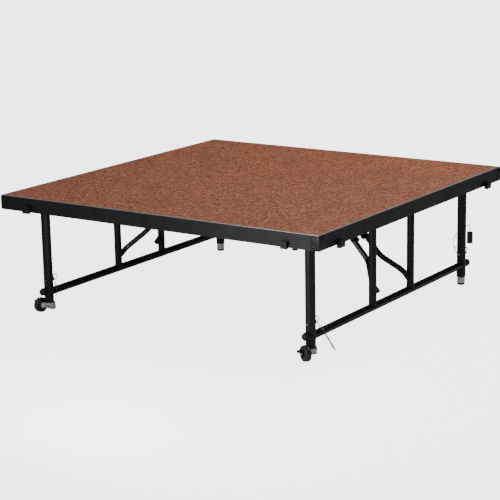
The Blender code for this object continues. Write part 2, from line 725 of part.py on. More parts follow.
def caster_fork(side, sign):
    """The swivel head on its stem, a block under it and the plate that holds the axle."""
    matrix = caster_frame(side, sign)
    x, y = leg_points(sign, -1)
    top = FRONT_LEG_FOOT - GAP
    low = top - CASTER_HEAD_HEIGHT
    stem = INNER_DIAMETER / 2 - INNER_WALL - GAP
    head = LEG_DIAMETER * 0.63
    rise = top + 0.040
    plate_far = WHEEL_NEAR - 0.0025
    plate_near = plate_far - CASTER_PLATE
    outline = [(0, low), (head, low), (head, top), (stem, top), (stem, rise), (0, rise)]
    bm = bmesh.new()
    spun(bm, outline, matrix)
    name = "caster_fork_" + side
    fork = new_object(name, bm, ("zinc", ZINC), (x, y, 0))
    bm = bmesh.new()
    add_box(bm, (-head, -2 * head, low - 0.001), (head, -plate_far + 0.0008, top + 0.001), matrix)
    boolean(fork, cutter(name + "_flat", bm), "DIFFERENCE")
    bm = bmesh.new()
    block_low = (-0.0115, -plate_far + 0.0015, AXLE_HEIGHT - 0.0119)
    block_high = (0.004, LEG_DIAMETER * 0.6, low + WELD_OVERLAP)
    add_box(bm, block_low, block_high, matrix)
    boolean(fork, cutter(name + "_block", bm), "UNION")
    bm = bmesh.new()
    plate_start = (-0.0125, -plate_far, AXLE_HEIGHT - 0.0095)
    plate_end = (CASTER_TRAIL + 0.003, -plate_near, low + WELD_OVERLAP * 2)
    add_box(bm, plate_start, plate_end, matrix)
    boolean(fork, cutter(name + "_plate", bm), "UNION")
    for part, start, end, radius, sides in (
        ("eye", -plate_near + 0.0006, -plate_far - 0.0006, 0.0105, ROUND),
        ("nut", -plate_near + 0.0048, -plate_near - 0.0005, 0.0068, 6),
        ("axle", -plate_near + 0.0062, -BRAKE_FAR - 0.002, AXLE_DIAMETER / 2, 20),
    ):
        bm = bmesh.new()
        start = matrix @ Vector((CASTER_TRAIL, start, AXLE_HEIGHT))
        end = matrix @ Vector((CASTER_TRAIL, end, AXLE_HEIGHT))
        add_rod(bm, start, end, radius, sides)
        boolean(fork, cutter(name + "_" + part, bm), "UNION")


def caster_wheel(side, sign):
    matrix = caster_frame(side, sign)
    centre = matrix @ Vector((CASTER_TRAIL, -(WHEEL_NEAR + WHEEL_FAR) / 2, AXLE_HEIGHT))
    start = matrix @ Vector((CASTER_TRAIL, -WHEEL_NEAR, AXLE_HEIGHT))
    end = matrix @ Vector((CASTER_TRAIL, -WHEEL_FAR, AXLE_HEIGHT))
    place, width = frame_between(start, end)
    rim = WHEEL_DIAMETER / 2
    bore = AXLE_DIAMETER / 2 + GAP
    shoulder = 0.0025
    outline = [
        (bore, 0),
        (rim - shoulder, 0),
        (rim - shoulder * 0.25, shoulder * 0.75),
        (rim, shoulder * 2),
        (rim, width - shoulder * 2),
        (rim - shoulder * 0.25, width - shoulder * 0.75),
        (rim - shoulder, width),
        (bore, width),
    ]
    bm = bmesh.new()
    spun(bm, outline, place, 24)
    new_object("caster_wheel_" + side, bm, ("rubber", RUBBER), centre)


def caster_brake(side, sign):
    """The lever on the axle's outer end that locks the wheel."""
    matrix = caster_frame(side, sign)
    centre = matrix @ Vector((CASTER_TRAIL, -BRAKE_NEAR, AXLE_HEIGHT))
    start = matrix @ Vector((CASTER_TRAIL, -BRAKE_NEAR, AXLE_HEIGHT))
    end = matrix @ Vector((CASTER_TRAIL, -BRAKE_FAR, AXLE_HEIGHT))
    bm = bmesh.new()
    add_tube(bm, start, end, 0.009, AXLE_DIAMETER / 2 + GAP)
    name = "caster_brake_" + side
    lever = new_object(name, bm, ("plastic", BLACK_PLASTIC), centre)
    bm = bmesh.new()
    add_box(
        bm,
        (CASTER_TRAIL - 0.006, -BRAKE_FAR - 0.013, AXLE_HEIGHT + 0.0052),
        (CASTER_TRAIL + 0.006, -BRAKE_NEAR, AXLE_HEIGHT + 0.0128),
        matrix,
    )
    boolean(lever, cutter(name + "_pedal", bm), "UNION")


# Lock pins -----------------------------------------------------------------------
def lock_pin(side, sign, row_name, row):
    x, y = leg_points(sign, row)
    wall = LEG_DIAMETER / 2
    name = f"lock_pin_{side}_{row_name}"
    origin = (x, y, PIN_HEIGHT)
    nose = y - wall - PIN_NOSE
    head_near = y + wall + GAP
    head_far = head_near + PIN_HEAD_LENGTH
    radius = PIN_DIAMETER / 2
    head = PIN_HEAD_DIAMETER / 2
    length = head_far - nose
    outline = [
        (0, 0),
        (radius * 0.6, 0),
        (radius, radius * 0.5),
        (radius, length - PIN_HEAD_LENGTH),
        (head, length - PIN_HEAD_LENGTH),
        (head, length),
        (0, length),
    ]
    matrix, _ = frame_between((x, nose, PIN_HEIGHT), (x, head_far, PIN_HEIGHT))
    bm = bmesh.new()
    spun(bm, outline, matrix, 12)
    pin = new_object(name, bm, ("zinc", ZINC), origin)
    bm = bmesh.new()
    wire = PIN_RING_WIRE / 2
    sides = 6
    outline = [
        (PIN_RING_RADIUS + wire * cos(2 * pi * i / sides), wire * sin(2 * pi * i / sides))
        for i in range(sides)
    ]
    ring_centre = Vector((x, head_far + 0.007, PIN_HEIGHT + 0.003))
    place = Matrix.Translation(ring_centre) @ Matrix.Rotation(pi / 2, 4, "Y")
    spun(bm, outline, place, 18)
    boolean(pin, cutter(name + "_ring", bm, origin), "UNION")


def smooth_route(points, steps):
    """Points of a smooth curve through the given ones."""
    points = [Vector(p) for p in points]
    padded = [points[0] * 2 - points[1], *points, points[-1] * 2 - points[-2]]
    route = []
    for a, b, c, d in zip(padded, padded[1:], padded[2:], padded[3:]):
        for i in range(steps):
            t = i / steps
            route.append(
                0.5
                * (
                    2 * b
                    + (c - a) * t
                    + (2 * a - 5 * b + 4 * c - d) * t**2
                    + (3 * b - a - 3 * c + d) * t**3
                )
            )
    route.append(points[-1])
    return route


# Each safety wire's route from its leg's axis: outward, towards the rear, height.
# Outward is away from the middle of the stage.
WIRE_ROUTES = {
    ("left", "front"): [
        (-0.0040, 0.0270, 0.1010),
        (-0.0110, 0.0235, 0.0930),
        (-0.0168, 0.0195, 0.0820),
        (-0.0176, 0.0188, 0.0710),
        (-0.0170, 0.0178, 0.0620),
        (-0.0143, 0.0143, 0.0560),
    ],
    ("right", "front"): [
        (0.0080, 0.0275, 0.1075),
        (0.0130, 0.0420, 0.0905),
        (0.0160, 0.0550, 0.0742),
        (0.0168, 0.0700, 0.0554),
        (0.0175, 0.0880, 0.0328),
        (0.0186, 0.1035, 0.0130),
        (0.0197, 0.1048, 0.0089),
        (0.0220, 0.1032, 0.0055),
        (0.0243, 0.0994, 0.0049),
        (0.0250, 0.0957, 0.0072),
        (0.0244, 0.0855, 0.0205),
        (0.0232, 0.0690, 0.0412),
        (0.0215, 0.0560, 0.0590),
        (0.0190, 0.0455, 0.0730),
        (0.0150, 0.0355, 0.0860),
        (0.0095, 0.0270, 0.0985),
    ],
    ("right", "rear"): [
        (-0.0020, -0.0270, 0.1150),
        (-0.0080, -0.0300, 0.1290),
        (-0.0150, -0.0330, 0.1560),
        (-0.0110, -0.0290, 0.1800),
        (0.0010, -0.0235, 0.1960),
        (0.0140, -0.0130, 0.2080),
        (0.0205, 0.0020, 0.2160),
        (0.0212, 0.0165, 0.2140),
        (0.0205, 0.0240, 0.2030),
        (0.0200, 0.0250, 0.1930),
    ],
}
WIRE_ROUTES["left", "rear"] = WIRE_ROUTES["right", "rear"]
# The routes widen with the thickest tube near them, and rise with the lock pins.
WIRE_SPREAD = max(LEG_DIAMETER, CROSS_TUBE_DIAMETER * 1.25) / 0.03175
WIRE_RISE = PIN_HEIGHT / 0.1125


def safety_wire(side, sign, row_name, row):
    x, y = leg_points(sign, row)
    points = [
        (x + sign * dx * WIRE_SPREAD, y + dy * WIRE_SPREAD, z * WIRE_RISE)
        for dx, dy, z in WIRE_ROUTES[side, row_name]
    ]
    curve = bpy.data.curves.new(f"safety_wire_{side}_{row_name}", "CURVE")
    curve.dimensions = "3D"
    curve.bevel_depth = WIRE_DIAMETER / 2
    curve.bevel_resolution = 2
    curve.use_fill_caps = True
    spline = curve.splines.new("POLY")
    route = smooth_route(points, 3)
    spline.points.add(len(route) - 1)
    for slot, point in zip(spline.points, route):
        slot.co = (*point, 1)
    curve.materials.append(finish("safety_wire_zinc", ZINC))
    obj = bpy.data.objects.new(curve.name, curve)
    bpy.context.collection.objects.link(obj)


def main():
    clear_scene()
    deck_panels()
    deck_edges()
    couplings()
    for side, sign in (("left", -1), ("right", 1)):
        hinge_hardware(side, sign)
        uprights(side, sign)
        cross_tube(side, sign)
        brace_strap(side, sign)
        brace_links(side, sign)
        brace_arms(side, sign)
        glide(side, sign)
        caster_fork(side, sign)
        caster_wheel(side, sign)
        caster_brake(side, sign)
        for row_name, row in (("front", -1), ("rear", 1)):
            outer_leg(side, sign, row_name, row)
            inner_leg(side, sign, row_name, row)
            tube_end(side, sign, row_name, row)
            lock_pin(side, sign, row_name, row)
            safety_wire(side, sign, row_name, row)
    for obj in bpy.data.objects:
        obj.location += Vector((SHIFT_X, SHIFT_Y, 0))


main()
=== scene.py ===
import json
from math import cos, pi, radians, sin, sqrt

import bmesh
import bpy
from mathutils import Matrix, Vector


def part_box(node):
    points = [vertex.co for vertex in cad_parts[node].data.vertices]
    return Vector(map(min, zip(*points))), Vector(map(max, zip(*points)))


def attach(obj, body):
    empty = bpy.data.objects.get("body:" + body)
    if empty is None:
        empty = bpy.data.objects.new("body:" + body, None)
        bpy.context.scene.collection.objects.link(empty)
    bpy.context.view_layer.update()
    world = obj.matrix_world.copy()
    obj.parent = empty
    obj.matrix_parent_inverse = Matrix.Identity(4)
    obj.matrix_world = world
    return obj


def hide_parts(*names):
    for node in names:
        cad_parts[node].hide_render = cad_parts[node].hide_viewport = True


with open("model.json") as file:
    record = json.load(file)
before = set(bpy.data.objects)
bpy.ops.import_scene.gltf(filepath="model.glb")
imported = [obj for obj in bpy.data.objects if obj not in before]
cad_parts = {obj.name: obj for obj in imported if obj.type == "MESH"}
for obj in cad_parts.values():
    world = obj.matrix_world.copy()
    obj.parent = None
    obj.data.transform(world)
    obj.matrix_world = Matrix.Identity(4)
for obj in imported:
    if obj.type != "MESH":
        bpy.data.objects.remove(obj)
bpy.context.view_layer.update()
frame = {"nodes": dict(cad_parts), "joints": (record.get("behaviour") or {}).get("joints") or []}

# Camera: a long lens a little above deck height, in front of the right front corner.
camera_data = bpy.data.cameras.new("camera")
camera_data.lens = 115.435
camera_data.sensor_width = 36.0
camera_data.clip_end = 60.0
camera = bpy.data.objects.new("camera", camera_data)
camera.location = (2.93815, -4.43215, 1.4598)
camera.rotation_euler = (radians(76.388), radians(1.018), radians(33.659))
bpy.context.collection.objects.link(camera)
bpy.context.scene.camera = camera


# Safety wires: thin stranded steel cable, one at each leg, so that a lock pin can't be lost.
# Each is crimped into a short sleeve at its end.  The rear ones also hold a small black tag.
wire_thickness = 0.0026
wire_steps = 6
side_sign = {"left": -1, "right": 1}
# From the leg's axis: outward from the middle of the stage, towards the rear, height.
wire_routes = {
    ("left", "front"): [
        (-0.0040, 0.0270, 0.1010),
        (-0.0110, 0.0235, 0.0930),
        (-0.0168, 0.0195, 0.0820),
        (-0.0176, 0.0188, 0.0710),
        (-0.0170, 0.0178, 0.0620),
        (-0.0143, 0.0143, 0.0560),
    ],
    ("right", "front"): [
        (0.0080, 0.0275, 0.1075),
        (0.0130, 0.0420, 0.0905),
        (0.0160, 0.0550, 0.0742),
        (0.0168, 0.0700, 0.0554),
        (0.0175, 0.0880, 0.0328),
        (0.0186, 0.1035, 0.0130),
        (0.0197, 0.1048, 0.0089),
        (0.0220, 0.1032, 0.0055),
        (0.0243, 0.0994, 0.0049),
        (0.0250, 0.0957, 0.0072),
        (0.0244, 0.0855, 0.0205),
        (0.0232, 0.0690, 0.0412),
        (0.0215, 0.0560, 0.0590),
        (0.0190, 0.0455, 0.0730),
        (0.0150, 0.0355, 0.0860),
        (0.0095, 0.0270, 0.0985),
    ],
    ("right", "rear"): [
        (-0.0020, -0.0270, 0.1150),
        (-0.0080, -0.0300, 0.1290),
        (-0.0150, -0.0330, 0.1560),
        (-0.0110, -0.0290, 0.1800),
        (0.0010, -0.0235, 0.1960),
        (0.0140, -0.0130, 0.2080),
        (0.0205, 0.0020, 0.2160),
        (0.0212, 0.0165, 0.2140),
        (0.0205, 0.0240, 0.2030),
        (0.0200, 0.0250, 0.1930),
    ],
}
wire_routes["left", "rear"] = wire_routes["right", "rear"]


def node_at(tree, kind, **values):
    """A shader node of this kind, with these values on its named inputs."""
    node = tree.nodes.new(kind)
    for name, value in values.items():
        node.inputs[name.replace("_", " ")].default_value = value
    return node


def ramp_between(tree, factor, stops):
    """A colour ramp through (place, colour) stops, fed by a value."""
    ramp = tree.nodes.new("ShaderNodeValToRGB")
    ramp.color_ramp.elements[0].position = stops[0][0]
    ramp.color_ramp.elements[0].color = (*stops[0][1], 1)
    ramp.color_ramp.elements[1].position = stops[-1][0]
    ramp.color_ramp.elements[1].color = (*stops[-1][1], 1)
    for place, colour in stops[1:-1]:
        ramp.color_ramp.elements.new(place).color = (*colour, 1)
    tree.links.new(factor, ramp.inputs["Fac"])
    return ramp.outputs["Color"]


def value_range(tree, value, low, high, from_low=0.3, from_high=0.7):
    """A noise value spread over a range of roughness or of mask."""
    node = tree.nodes.new("ShaderNodeMapRange")
    node.inputs["From Min"].default_value = from_low
    node.inputs["From Max"].default_value = from_high
    node.inputs["To Min"].default_value = low
    node.inputs["To Max"].default_value = high
    tree.links.new(value, node.inputs["Value"])
    return node.outputs["Result"]


def finish_group(name, inputs, outputs):
    """An empty node group with these colour ('c'), value ('v') or vector ('n') sockets."""
    kinds = {"c": "NodeSocketColor", "v": "NodeSocketFloat", "n": "NodeSocketVector"}
    group = bpy.data.node_groups.new(name, "ShaderNodeTree")
    for title, kind in inputs:
        group.interface.new_socket(title, in_out="INPUT", socket_type=kinds[kind])
    for title, kind in outputs:
        group.interface.new_socket(title, in_out="OUTPUT", socket_type=kinds[kind])
    return group, group.nodes.new("NodeGroupInput"), group.nodes.new("NodeGroupOutput")


def plated_group():
    """Zinc or bright steel: blotches of tone and a fine grain."""
    group, give, take = finish_group(
        "plated metal",
        [("Place", "n"), ("Tone", "c"), ("Shade", "c"), ("Roughness", "v")],
        [("Colour", "c"), ("Roughness", "v"), ("Height", "v")],
    )
    blotch = node_at(group, "ShaderNodeTexNoise", Scale=60.0, Detail=3.0, Roughness=0.6)
    grain = node_at(group, "ShaderNodeTexNoise", Scale=900.0, Detail=2.0, Roughness=0.7)
    mix = group.nodes.new("ShaderNodeMix")
    mix.data_type = "RGBA"
    link = group.links.new
    link(give.outputs["Place"], blotch.inputs["Vector"])
    link(give.outputs["Place"], grain.inputs["Vector"])
    link(value_range(group, blotch.outputs["Fac"], 0.0, 1.0), mix.inputs["Factor"])
    link(give.outputs["Tone"], mix.inputs[6])
    link(give.outputs["Shade"], mix.inputs[7])
    link(mix.outputs[2], take.inputs["Colour"])
    wander = group.nodes.new("ShaderNodeMath")
    wander.operation = "MULTIPLY_ADD"
    wander.inputs[1].default_value = 1.0
    link(value_range(group, grain.outputs["Fac"], -0.08, 0.10), wander.inputs[0])
    link(give.outputs["Roughness"], wander.inputs[2])
    link(wander.outputs[0], take.inputs["Roughness"])
    link(grain.outputs["Fac"], take.inputs["Height"])
    return group


plated = plated_group()


def plastic_group():
    """Moulded plastic or rubber: a soft mottle with a fine spark texture."""
    group, give, take = finish_group(
        "moulded black",
        [("Place", "n"), ("Body", "c"), ("Bloom", "c"), ("Roughness", "v"), ("Grain", "v")],
        [("Colour", "c"), ("Roughness", "v"), ("Height", "v")],
    )
    link = group.links.new
    spark = group.nodes.new("ShaderNodeTexNoise")
    spark.inputs["Detail"].default_value = 3.0
    bloom = node_at(group, "ShaderNodeTexNoise", Scale=45.0, Detail=5.0, Roughness=0.65)
    link(give.outputs["Grain"], spark.inputs["Scale"])
    for noise in (spark, bloom):
        link(give.outputs["Place"], noise.inputs["Vector"])
    mix = group.nodes.new("ShaderNodeMix")
    mix.data_type = "RGBA"
    link(value_range(group, bloom.outputs["Fac"], 0.0, 1.0, 0.45, 0.8), mix.inputs["Factor"])
    link(give.outputs["Body"], mix.inputs[6])
    link(give.outputs["Bloom"], mix.inputs[7])
    link(mix.outputs[2], take.inputs["Colour"])
    rough = group.nodes.new("ShaderNodeMath")
    rough.operation = "ADD"
    link(give.outputs["Roughness"], rough.inputs[0])
    link(value_range(group, spark.outputs["Fac"], -0.07, 0.09), rough.inputs[1])
    link(rough.outputs[0], take.inputs["Roughness"])
    link(spark.outputs["Fac"], take.inputs["Height"])
    return group


moulded = plastic_group()


def new_finish(name, group, bump_strength, bump_distance, metallic=0.0, gloss=0.5, **sockets):
    """A Principled material fed by one of the finish groups on object coordinates."""
    material = bpy.data.materials.new(name)
    material.use_nodes = True
    tree = material.node_tree
    shader = tree.nodes["Principled BSDF"]
    shader.inputs["Metallic"].default_value = metallic
    shader.inputs["Specular IOR Level"].default_value = gloss
    place = tree.nodes.new("ShaderNodeTexCoord")
    use = tree.nodes.new("ShaderNodeGroup")
    use.node_tree = group
    for title, value in sockets.items():
        socket = use.inputs[title.replace("_", " ")]
        socket.default_value = (*value, 1) if isinstance(value, tuple) else value
    tree.links.new(place.outputs["Object"], use.inputs["Place"])
    tree.links.new(use.outputs["Colour"], shader.inputs["Base Color"])
    tree.links.new(use.outputs["Roughness"], shader.inputs["Roughness"])
    bump = tree.nodes.new("ShaderNodeBump")
    bump.inputs["Strength"].default_value = bump_strength
    bump.inputs["Distance"].default_value = bump_distance
    tree.links.new(use.outputs["Height"], bump.inputs["Height"])
    tree.links.new(bump.outputs["Normal"], shader.inputs["Normal"])
    return material


wire_steel = new_finish(
    "wire steel", plated, 0.4, 0.0004, metallic=1.0,
    Tone=(0.15, 0.14, 0.13), Shade=(0.07, 0.065, 0.06), Roughness=0.42,
)  # fmt: skip
sleeve_metal = new_finish(
    "sleeve metal", plated, 0.3, 0.0003, metallic=1.0,
    Tone=(0.62, 0.60, 0.57), Shade=(0.35, 0.34, 0.33), Roughness=0.35,
)  # fmt: skip


tag_black = new_finish(
    "tag black", moulded, 0.3, 0.0003,
    Body=(0.010, 0.010, 0.010), Bloom=(0.045, 0.044, 0.042), Roughness=0.5, Grain=900.0,
)  # fmt: skip


def leg_axis(side, row):
    low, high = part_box(f"outer_leg_{side}_{row}")
    return (low.x + high.x) / 2, (low.y + high.y) / 2


def smooth_route(points):
    """Points of a smooth curve through the given ones."""
    points = [Vector(p) for p in points]
    padded = [points[0] * 2 - points[1], *points, points[-1] * 2 - points[-2]]
    route = []
    for a, b, c, d in zip(padded, padded[1:], padded[2:], padded[3:]):
        for i in range(wire_steps):
            t = i / wire_steps
            route.append(
                0.5 * (2 * b + (c - a) * t + (2 * a - 5 * b + 4 * c - d) * t**2
                       + (3 * b - a - 3 * c + d) * t**3)
            )  # fmt: skip
    route.append(points[-1])
    return route


def hand_over(bm, name, material, body, angle=35):
    """Makes a piece from a finished bmesh and lets it ride on a body."""
    bmesh.ops.remove_doubles(bm, verts=bm.verts, dist=1e-6)
    bmesh.ops.recalc_face_normals(bm, faces=bm.faces)
    mesh = bpy.data.meshes.new(name)
    bm.to_mesh(mesh)
    bm.free()
    mesh.shade_smooth()
    mesh.set_sharp_from_angle(angle=radians(angle))
    mesh.materials.append(material)
    piece = bpy.data.objects.new(name, mesh)
    bpy.context.collection.objects.link(piece)
    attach(piece, body)
    return piece


def facing(start, direction):
    """A matrix at start whose Z axis runs along direction."""
    turn = Vector(direction).to_track_quat("Z", "Y").to_matrix().to_4x4()
    return Matrix.Translation(Vector(start)) @ turn


def turn_on_lathe(bm, profile, matrix, sides=32):
    """Spins a profile of (radius, height) points round Z, closed at the axis or round a hole."""
    verts = [bm.verts.new((r, 0, z)) for r, z in profile]
    pairs = list(zip(verts, verts[1:]))
    if profile[0][0] > 0 and profile[-1][0] > 0:
        pairs.append((verts[-1], verts[0]))
    edges = [bm.edges.new(pair) for pair in pairs]
    known = set(bm.verts) - set(verts)
    bmesh.ops.spin(
        bm, geom=verts + edges, cent=(0, 0, 0), axis=(0, 0, 1),
        angle=2 * pi, steps=sides, use_merge=True,
    )  # fmt: skip
    made = [v for v in bm.verts if v not in known]
    bmesh.ops.remove_doubles(bm, verts=made, dist=1e-6)
    made = [v for v in bm.verts if v not in known]
    bmesh.ops.transform(bm, matrix=matrix, verts=made)
    return made


def ring_profile(middle, thick, steps=10):
    return [
        (middle + thick * cos(2 * pi * i / steps), thick * sin(2 * pi * i / steps))
        for i in range(steps)
    ]


def rounded_box(bm, low, high, matrix=None, edge=0.0006, segments=2):
    """A block with its edges eased."""
    low, high = Vector(low), Vector(high)
    known = set(bm.verts)
    verts = bmesh.ops.create_cube(bm, size=1.0)["verts"]
    bmesh.ops.scale(bm, vec=high - low, verts=verts)
    bmesh.ops.translate(bm, vec=(low + high) / 2, verts=verts)
    edges = list({e for v in verts for e in v.link_edges})
    bmesh.ops.bevel(
        bm, geom=edges, offset=edge, offset_type="OFFSET", segments=segments,
        profile=0.5, affect="EDGES", material=-1,
    )  # fmt: skip
    made = [v for v in bm.verts if v not in known]
    if matrix is not None:
        bmesh.ops.transform(bm, matrix=matrix, verts=made)
    return made


def crimp_sleeve(name, route, index, body):
    """An oval sleeve pressed over the wire."""
    along = route[index + 1] - route[index - 1]
    bm = bmesh.new()
    profile = [
        (0, -0.0045), (0.0019, -0.0045), (0.0025, -0.0040), (0.0022, 0.0),
        (0.0025, 0.0040), (0.0019, 0.0045), (0, 0.0045),
    ]  # fmt: skip
    turn_on_lathe(bm, profile, facing(route[index], along), 16)
    return hand_over(bm, name, sleeve_metal, body)


wire_lengths = {}
for (side, row), points in wire_routes.items():
    x, y = leg_axis(side, row)
    route = smooth_route([(x + side_sign[side] * dx, y + dy, z) for dx, dy, z in points])
    wire_curve = bpy.data.curves.new(f"safety_cable_{side}_{row}", "CURVE")
    wire_curve.dimensions = "3D"
    wire_curve.bevel_depth = wire_thickness / 2
    wire_curve.bevel_resolution = 3
    wire_curve.use_fill_caps = True
    spline = wire_curve.splines.new("POLY")
    spline.points.add(len(route) - 1)
    for slot, point in zip(spline.points, route):
        slot.co = (*point, 1)
    wire_curve.materials.append(wire_steel)
    wire = bpy.data.objects.new(wire_curve.name, wire_curve)
    bpy.context.collection.objects.link(wire)
    body = "leg_frame_" + side
    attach(wire, body)
    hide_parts(f"safety_wire_{side}_{row}")
    held = [crimp_sleeve(f"crimp_sleeve_{side}_{row}", route, wire_steps + 2, body)]
    if row == "rear":
        end = route[-1]
        tag_turn = Matrix.Rotation(radians(33.9), 4, "Z")
        hang = Matrix.Translation(end) @ tag_turn
        bm = bmesh.new()
        rounded_box(bm, (-0.0105, -0.0011, -0.048), (0.0105, 0.0011, -0.004), hang, edge=0.0008)
        rounded_box(bm, (-0.0085, -0.0015, -0.046), (0.0085, 0.0015, -0.014), hang, edge=0.0006)
        turn_on_lathe(
            bm, ring_profile(0.0036, 0.0008), hang @ facing((0, 0, -0.0034), (1, 0, 0)), 20
        )
        held.append(hand_over(bm, f"wire_tag_{side}", tag_black, body))
    total = sum((b - a).length for a, b in zip(route, route[1:]))
    wire_lengths[side, row] = round(total, 3)
print("wire lengths", wire_lengths)


# Deck surface: a sheet of smooth tempered hardboard, pressed from wood fibre and oiled.
# It shows a fine reddish speckle of light and dark fibres and a few faint scuffs.
def hardboard_group():
    group, give, take = finish_group(
        "hardboard",
        [("Place", "n"), ("Dark Fibre", "c"), ("Middle", "c"), ("Light Fibre", "c"), ("Roughness", "v")],
        [("Colour", "c"), ("Roughness", "v"), ("Height", "v")],
    )
    link = group.links.new
    speck = node_at(group, "ShaderNodeTexNoise", Scale=125.0, Detail=5.0, Roughness=0.85)
    fibre = node_at(group, "ShaderNodeTexNoise", Scale=380.0, Detail=3.0, Roughness=0.75, Distortion=0.6)
    cloud = node_at(group, "ShaderNodeTexNoise", Scale=5.0, Detail=4.0, Roughness=0.6)
    for noise in (speck, fibre, cloud):
        link(give.outputs["Place"], noise.inputs["Vector"])
    add = group.nodes.new("ShaderNodeMath")
    add.operation = "MULTIPLY_ADD"
    add.inputs[1].default_value = 0.35
    link(fibre.outputs["Fac"], add.inputs[0])
    scaled = group.nodes.new("ShaderNodeMath")
    scaled.operation = "MULTIPLY"
    scaled.inputs[1].default_value = 0.65
    link(speck.outputs["Fac"], scaled.inputs[0])
    link(scaled.outputs[0], add.inputs[2])
    low = group.nodes.new("ShaderNodeMix")
    low.data_type = "RGBA"
    link(value_range(group, add.outputs[0], 0.0, 1.0, 0.44, 0.50), low.inputs["Factor"])
    link(give.outputs["Dark Fibre"], low.inputs[6])
    link(give.outputs["Middle"], low.inputs[7])
    high = group.nodes.new("ShaderNodeMix")
    high.data_type = "RGBA"
    link(value_range(group, add.outputs[0], 0.0, 1.0, 0.50, 0.56), high.inputs["Factor"])
    link(low.outputs[2], high.inputs[6])
    link(give.outputs["Light Fibre"], high.inputs[7])
    shade = group.nodes.new("ShaderNodeMix")
    shade.data_type = "RGBA"
    shade.blend_type = "MULTIPLY"
    shade.inputs["Factor"].default_value = 1.0
    tone = ramp_between(group, cloud.outputs["Fac"], [(0.3, (0.90, 0.90, 0.90)), (0.7, (1.06, 1.05, 1.04))])
    link(high.outputs[2], shade.inputs[6])
    link(tone, shade.inputs[7])
    link(shade.outputs[2], take.inputs["Colour"])
    rough = group.nodes.new("ShaderNodeMath")
    rough.operation = "ADD"
    link(give.outputs["Roughness"], rough.inputs[0])
    link(value_range(group, cloud.outputs["Fac"], -0.06, 0.08), rough.inputs[1])
    link(rough.outputs[0], take.inputs["Roughness"])
    link(add.outputs[0], take.inputs["Height"])
    return group


hardboard = new_finish(
    "tempered hardboard", hardboard_group(), 0.25, 0.0004,
    Dark_Fibre=(0.120, 0.026, 0.010), Middle=(0.330, 0.088, 0.034),
    Light_Fibre=(0.700, 0.270, 0.140), Roughness=0.62,
)  # fmt: skip


def coat(node, material):
    """Gives a part of the frame its finish."""
    mesh = frame["nodes"][node].data
    mesh.materials.clear()
    mesh.materials.append(material)


coat("deck_surface", hardboard)


# Deck core: a square of bare softwood plywood under the hardboard, seen only from below.
# Its face veneer has long grain along the stage and a few small knots.
def plywood_group():
    group, give, take = finish_group(
        "plywood face",
        [("Place", "n"), ("Early Wood", "c"), ("Late Wood", "c")],
        [("Colour", "c"), ("Roughness", "v"), ("Height", "v")],
    )
    link = group.links.new
    stretch = group.nodes.new("ShaderNodeMapping")
    stretch.inputs["Scale"].default_value = (1.2, 16.0, 8.0)
    link(give.outputs["Place"], stretch.inputs["Vector"])
    bend = node_at(group, "ShaderNodeTexNoise", Scale=1.6, Detail=3.0, Roughness=0.5, Distortion=0.4)
    link(stretch.outputs["Vector"], bend.inputs["Vector"])
    bands = group.nodes.new("ShaderNodeMath")
    bands.operation = "MULTIPLY"
    bands.inputs[1].default_value = 34.0
    link(bend.outputs["Fac"], bands.inputs[0])
    ripple = group.nodes.new("ShaderNodeMath")
    ripple.operation = "SINE"
    link(bands.outputs[0], ripple.inputs[0])
    fine = node_at(group, "ShaderNodeTexNoise", Scale=30.0, Detail=4.0, Roughness=0.7)
    link(stretch.outputs["Vector"], fine.inputs["Vector"])
    both = group.nodes.new("ShaderNodeMath")
    both.operation = "MULTIPLY_ADD"
    both.inputs[1].default_value = 0.22
    link(ripple.outputs[0], both.inputs[0])
    link(fine.outputs["Fac"], both.inputs[2])
    mix = group.nodes.new("ShaderNodeMix")
    mix.data_type = "RGBA"
    link(value_range(group, both.outputs[0], 0.0, 1.0, 0.25, 0.8), mix.inputs["Factor"])
    link(give.outputs["Early Wood"], mix.inputs[6])
    link(give.outputs["Late Wood"], mix.inputs[7])
    link(mix.outputs[2], take.inputs["Colour"])
    link(value_range(group, fine.outputs["Fac"], 0.72, 0.9), take.inputs["Roughness"])
    link(both.outputs[0], take.inputs["Height"])
    return group


plywood = new_finish(
    "bare plywood", plywood_group(), 0.3, 0.0005,
    Early_Wood=(0.52, 0.34, 0.19), Late_Wood=(0.33, 0.185, 0.09),
)  # fmt: skip
coat("deck_core", plywood)


# Edge trim: a thin extruded aluminium angle along each side that covers the board's edge.
# It is mitred at the corners and rubbed dull by shoes and by other stages.
trim_aluminium = new_finish(
    "trim aluminium", plated, 0.25, 0.0003, metallic=1.0,
    Tone=(0.56, 0.52, 0.50), Shade=(0.40, 0.36, 0.34), Roughness=0.46,
)  # fmt: skip
for side in ("front", "rear", "left", "right"):
    coat("edge_trim_" + side, trim_aluminium)


